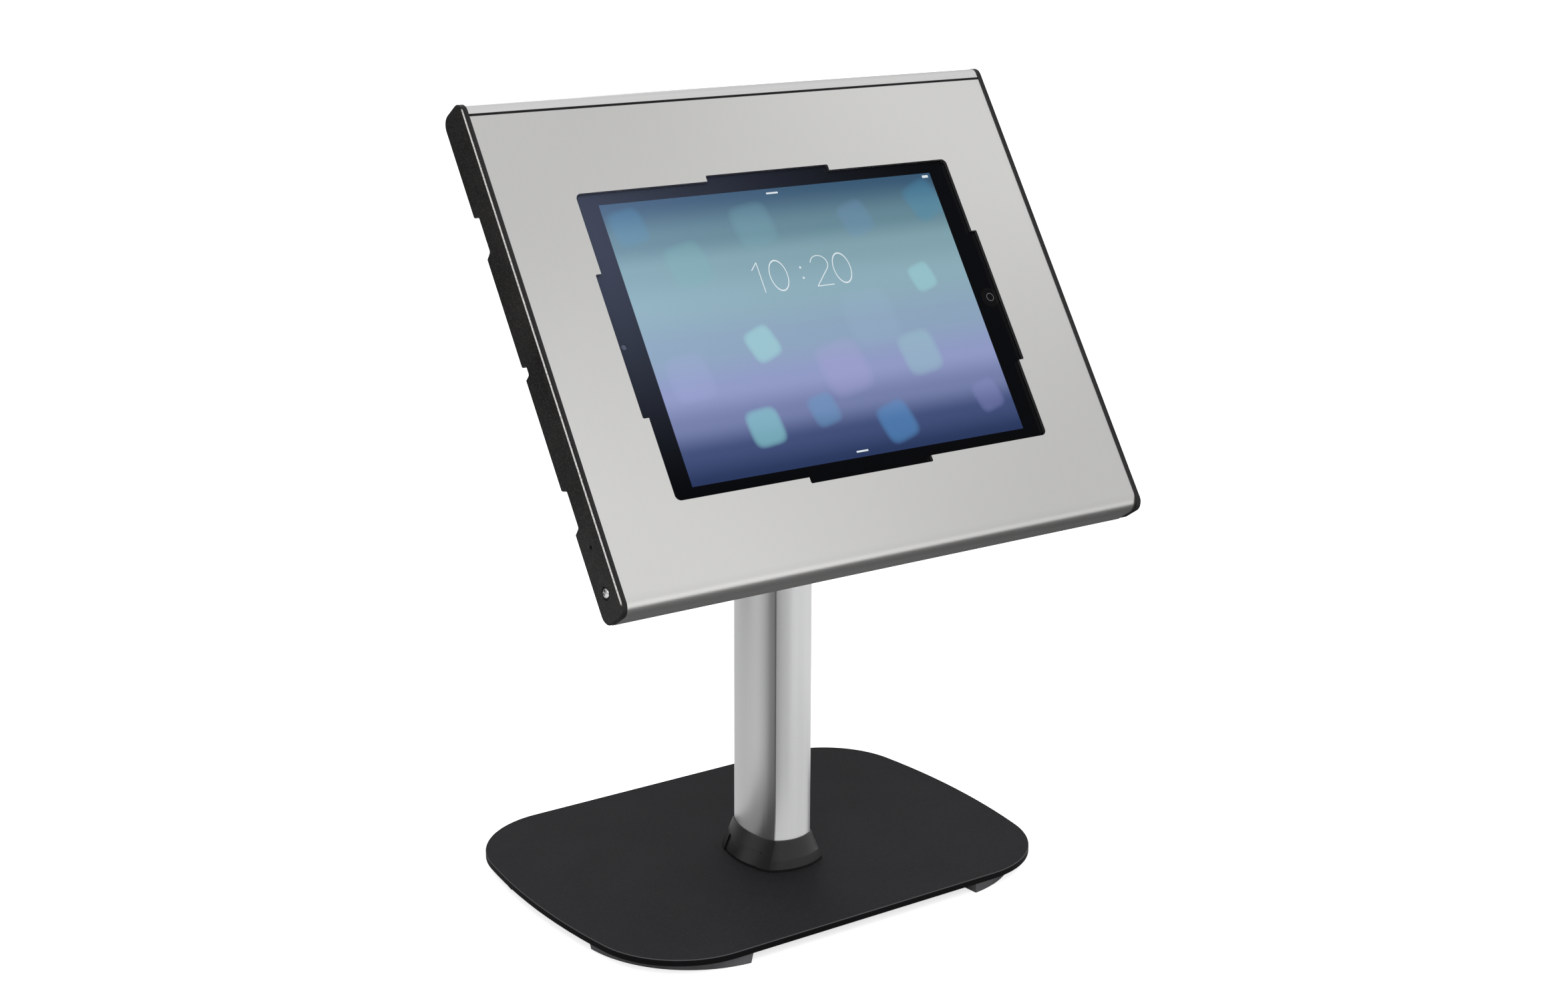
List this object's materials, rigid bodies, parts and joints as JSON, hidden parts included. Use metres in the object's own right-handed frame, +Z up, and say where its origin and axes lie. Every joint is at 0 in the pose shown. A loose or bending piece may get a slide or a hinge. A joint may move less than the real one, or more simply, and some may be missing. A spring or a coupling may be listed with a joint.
{
  "type": "tablet security kiosk stand",
  "caption": "Lockable tablet housing with a stepped screen window that tilts and turns on an arched aluminium column with a flat black base plate.",
  "frame": {"origin": "on the floor, on the plane of symmetry, midway between the foremost and rearmost points", "axes": "+Z up, +X to the right of someone facing the screen, +Y away from them; the screen faces -Y and leans back 34 degrees"},
  "size_m": [0.3152, 0.2245, 0.4174],
  "materials": {
    "powder_black": "fine textured powder coat",
    "foot_rubber": "moulded rubber",
    "zinc_steel": "zinc plated",
    "anodised_silver": "satin anodised",
    "collar_black": "semi gloss moulded",
    "cast_grey": "die cast",
    "bearing_nylon": "natural nylon",
    "back_silver": "plain sheet",
    "panel_silver": "fine brushed anodised",
    "gasket_black": "matte",
    "side_black": "coarse textured powder coat",
    "bright_steel": "polished",
    "foam_black": "closed cell foam",
    "tablet_shell": "bead blasted",
    "display_panel": "lit display",
    "cover_glass": "gloss black glass over a lit display",
    "lens_glass": "gloss",
    "button_black": "gloss"
  },
  "bodies": {
    "stand": {"base_plate": "powder_black", "foot_front_left": "foot_rubber", "foot_front_right": "foot_rubber", "foot_rear_left": "foot_rubber", "foot_rear_right": "foot_rubber", "anchor_plate": "zinc_steel", "base_screws": "zinc_steel", "column": "anodised_silver", "column_collar": "collar_black", "cable_outlet_cover": "collar_black", "hinge_fork": "cast_grey", "fork_screws": "zinc_steel", "pivot_bolt": "zinc_steel", "pivot_washers": "zinc_steel", "pivot_nut": "zinc_steel"},
    "knuckle": {"tilt_knuckle": "cast_grey", "pivot_bushes": "bearing_nylon", "turn_pad": "bearing_nylon", "turn_bolt": "zinc_steel", "turn_washer": "zinc_steel"},
    "housing": {"hub_carrier": "cast_grey", "hub_screws": "zinc_steel", "back_plate": "back_silver", "front_panel": "panel_silver", "top_profile": "anodised_silver", "seam_gasket": "gasket_black", "side_plate_left": "side_black", "side_plate_right": "side_black", "side_liner_left": "side_black", "side_liner_right": "side_black", "security_screws": "bright_steel", "corner_brackets": "zinc_steel", "tablet_tray": "back_silver", "tray_posts": "zinc_steel", "tray_screws": "zinc_steel", "edge_pads": "foam_black", "back_pads": "foam_black", "tablet_body": "tablet_shell", "tablet_battery": "collar_black", "tablet_display": "display_panel", "tablet_glass": "cover_glass", "camera_lens": "lens_glass", "home_switch": "zinc_steel"},
    "button": {"home_button": "button_black"}
  },
  "joints": [
    {"name": "head_tilt", "type": "hinge", "parent": "stand", "child": "knuckle", "pos_m": [0, -0.003, 0.2827], "axis": [-1, 0, 0], "range_deg": [-34.09, 55.91]},
    {"name": "head_turn", "type": "hinge", "parent": "knuckle", "child": "housing", "pos_m": [0, -0.003, 0.2827], "axis": [0, -0.8282, 0.5605], "range_deg": [0, 90]},
    {"name": "home_press", "type": "slide", "parent": "housing", "child": "button", "axis": [0, 0.8282, -0.5605], "range_m": [0, 0.0004], "stiffness_N_per_m": 300, "springref_m": -0.0004}
  ]
}
